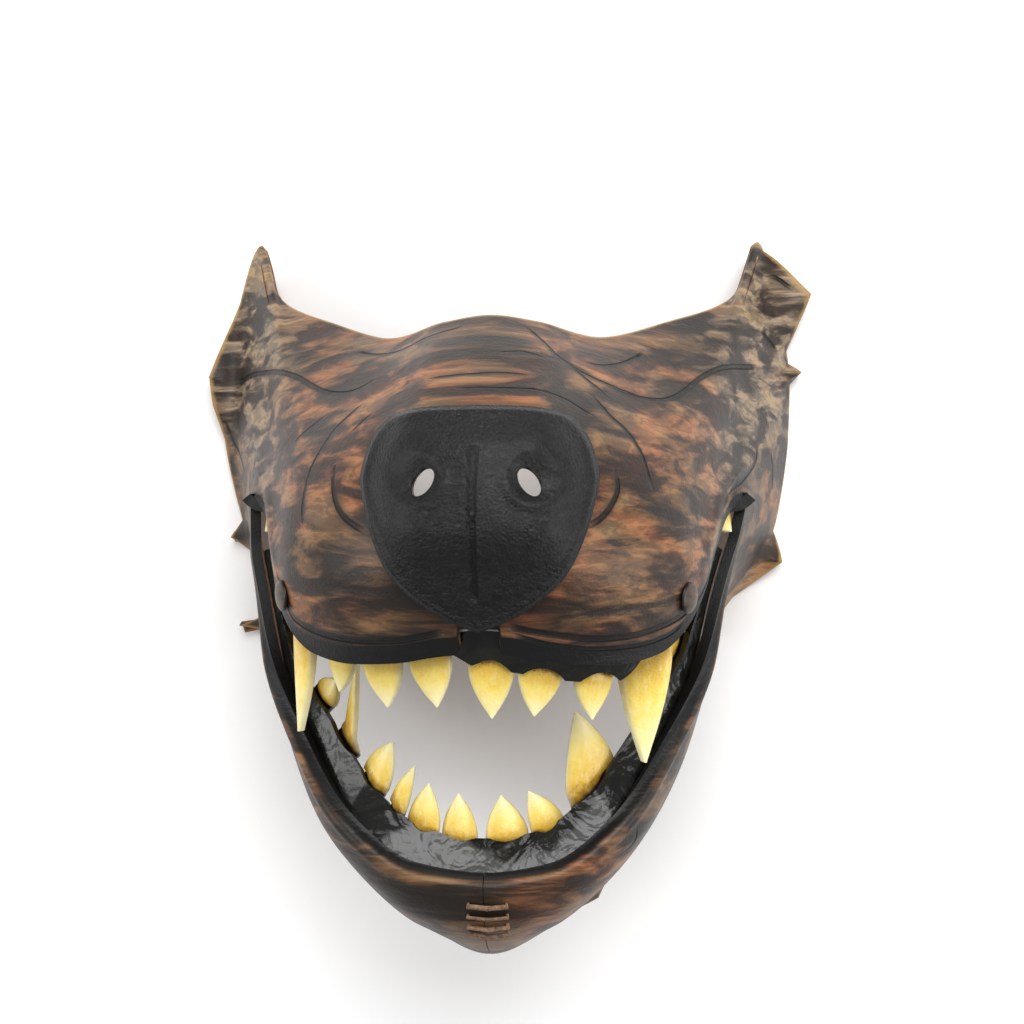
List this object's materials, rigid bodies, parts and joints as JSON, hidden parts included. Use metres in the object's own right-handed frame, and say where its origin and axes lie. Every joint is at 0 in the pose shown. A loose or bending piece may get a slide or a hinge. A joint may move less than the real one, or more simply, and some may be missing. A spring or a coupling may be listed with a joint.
{
  "type": "leather wolf mask",
  "caption": "Wet-formed leather half mask shaped as a snarling wolf's muzzle, with a moulded nose, gums, carved leather teeth and a laced chin, worn over the nose and mouth.",
  "frame": {"origin": "middle of the footprint, on the floor that the back rims of the cheeks lie on", "axes": "+X towards the side on the viewer's right, +Y from the chin up to the brow, +Z from the back rims out to the nose"},
  "size_m": [0.1926, 0.21, 0.1515],
  "materials": {
    "tooled_leather": "veg-tan leather, tooled and dyed in mottled grey-brown, tan, rust and charcoal, satin",
    "black_pebbled_leather": "black dyed leather with a fine pebble grain, semi-gloss",
    "black_glossy_leather": "black dyed leather, smooth and glossy",
    "tooth_leather": "thick carved leather painted yellow ochre to pale cream, satin"
  },
  "bodies": {
    "root": {"mask_shell": "tooled_leather", "nose": "black_pebbled_leather", "upper_gum": "black_glossy_leather", "lower_gum": "black_glossy_leather", "upper_incisor_left_1": "tooth_leather", "upper_incisor_left_2": "tooth_leather", "upper_incisor_left_3": "tooth_leather", "upper_canine_left": "tooth_leather", "upper_premolar_left": "tooth_leather", "upper_incisor_right_1": "tooth_leather", "upper_incisor_right_2": "tooth_leather", "upper_incisor_right_3": "tooth_leather", "upper_canine_right": "tooth_leather", "upper_premolar_right": "tooth_leather", "lower_incisor_left_1": "tooth_leather", "lower_incisor_left_2": "tooth_leather", "lower_incisor_left_3": "tooth_leather", "lower_incisor_left_4": "tooth_leather", "lower_canine_left": "tooth_leather", "lower_premolar_left_1": "tooth_leather", "lower_premolar_left_2": "tooth_leather", "lower_premolar_left_3": "tooth_leather", "lower_incisor_right_1": "tooth_leather", "lower_incisor_right_2": "tooth_leather", "lower_canine_right": "tooth_leather", "lower_premolar_right_1": "tooth_leather", "lower_premolar_right_2": "tooth_leather", "lower_premolar_right_3": "tooth_leather", "chin_lace": "tooled_leather", "rivet_left": "tooled_leather", "rivet_right": "tooled_leather"}
  },
  "joints": []
}
